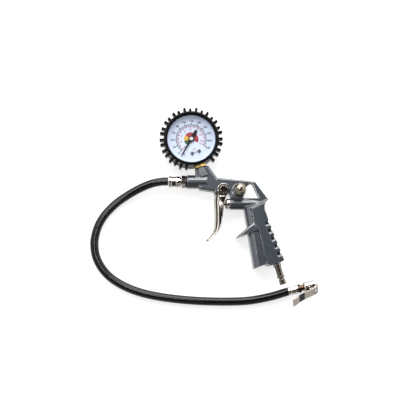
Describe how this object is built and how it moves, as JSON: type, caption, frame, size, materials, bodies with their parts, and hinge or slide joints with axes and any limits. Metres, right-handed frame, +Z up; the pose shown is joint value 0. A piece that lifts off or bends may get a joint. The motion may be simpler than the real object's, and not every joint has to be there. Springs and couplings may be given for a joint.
{
  "type": "tire pressure gauge",
  "caption": "Pistol tyre inflator with a booted dial pressure gauge, a trigger valve, a bleed button, a rubber hose and a clip-on air chuck, lying on its side.",
  "frame": {"origin": "on the surface the tool lies on, under the middle of its box without the hose and chuck", "axes": "+Z up out of the gauge face and the bleed button, +Y from the grip towards the gauge, +X from the hose end towards the hanging hole"},
  "size_m": [0.275, 0.2396, 0.0369],
  "materials": {
    "paint": "semi-gloss grey paint on a die casting",
    "chrome": "polished chrome plating",
    "nickel": "bright nickel plating",
    "steel": "bare spring and sheet steel",
    "brass": "turned brass",
    "bronze": "darker turned brass",
    "rubber": "matte black rubber",
    "black_metal": "satin black",
    "dial_white": "matte white print on sheet metal",
    "needle_black": "matte black",
    "clear_lens": "clear polished window",
    "cream": "satin cream cap"
  },
  "bodies": {
    "gun": {"gun_body": "paint", "trigger_pivot_rivet": "nickel", "valve_gland_nut": "nickel", "gland_o_ring": "rubber", "valve_seat": "brass", "valve_return_spring": "steel", "bleed_collar": "black_metal", "bleed_spring": "steel", "outlet_washer": "rubber", "outlet_nipple": "nickel", "outlet_ferrule": "chrome", "quick_connect_plug": "nickel", "gauge_boot": "rubber", "gauge_case": "black_metal", "gauge_socket": "brass", "stem_seal_washer": "rubber", "bourdon_tube": "brass", "tube_tip": "brass", "movement_lower_plate": "brass", "movement_upper_plate": "brass", "movement_pillar_1": "brass", "movement_pillar_2": "brass", "movement_pillar_3": "brass", "hairspring": "bronze", "dial_plate": "dial_white", "dial_spacer_ring": "dial_white", "lens_gasket": "rubber", "gauge_lens": "clear_lens", "bezel_ring": "black_metal", "stop_pin": "needle_black", "dial_screw_left": "black_metal", "dial_screw_right": "black_metal", "hose": "rubber", "chuck_ferrule": "nickel", "chuck_stem": "bronze", "chuck_body": "nickel", "chuck_seal": "rubber", "chuck_depressor": "brass", "chuck_lever_pin": "steel", "chuck_spring": "steel"},
    "trigger": {"trigger": "nickel"},
    "valve": {"valve_stem": "nickel", "valve_poppet_seal": "rubber"},
    "bleed": {"bleed_button": "chrome", "bleed_seal": "rubber"},
    "sector": {"sector_gear": "brass"},
    "pointer": {"pointer": "needle_black", "pointer_cap": "cream", "pointer_shaft": "steel"},
    "link": {"tube_link": "steel"},
    "chuck_lever": {"chuck_lever": "steel"}
  },
  "joints": [
    {"name": "trigger_pull", "type": "hinge", "parent": "gun", "child": "trigger", "pos_m": [0.0005, 0.0079, 0.013], "axis": [0, 0, 1], "range_deg": [0, 12], "stiffness_Nm_per_rad": 0.5},
    {"name": "valve_travel", "type": "slide", "parent": "gun", "child": "valve", "axis": [1, 0, 0], "range_m": [0, 0.0036], "deforming": ["valve_return_spring"]},
    {"name": "bleed_press", "type": "slide", "parent": "gun", "child": "bleed", "axis": [0, 0, -1], "range_m": [0, 0.002], "stiffness_N_per_m": 1500, "deforming": ["bleed_spring"]},
    {"name": "sector_turn", "type": "hinge", "parent": "gun", "child": "sector", "pos_m": [-0.03353, 0.05398, 0.013], "axis": [0, 0, 1], "range_deg": [0, 33.25], "stiffness_Nm_per_rad": 0.002},
    {"name": "pointer_turn", "type": "hinge", "parent": "gun", "child": "pointer", "pos_m": [-0.0388, 0.0693, 0.013], "axis": [0, 0, -1], "range_deg": [0, 268], "deforming": ["hairspring"]},
    {"name": "link_swing", "type": "hinge", "parent": "sector", "child": "link", "pos_m": [-0.02911, 0.04855, 0.013], "axis": [0, 0, 1], "range_deg": [-34, 0]},
    {"name": "chuck_lever_press", "type": "hinge", "parent": "gun", "child": "chuck_lever", "pos_m": [0.10797, -0.1136, 0.01157], "axis": [0.15, -0.5971, -0.788], "range_deg": [0, 12], "stiffness_Nm_per_rad": 0.3, "deforming": ["chuck_spring"]}
  ],
  "couplings": [
    {"joint": "valve_travel", "follows": "trigger_pull", "m_per_rad": 0.0165},
    {"joint": "pointer_turn", "follows": "sector_turn", "ratio": 8},
    {"joint": "link_swing", "follows": "sector_turn", "ratio": -1}
  ]
}
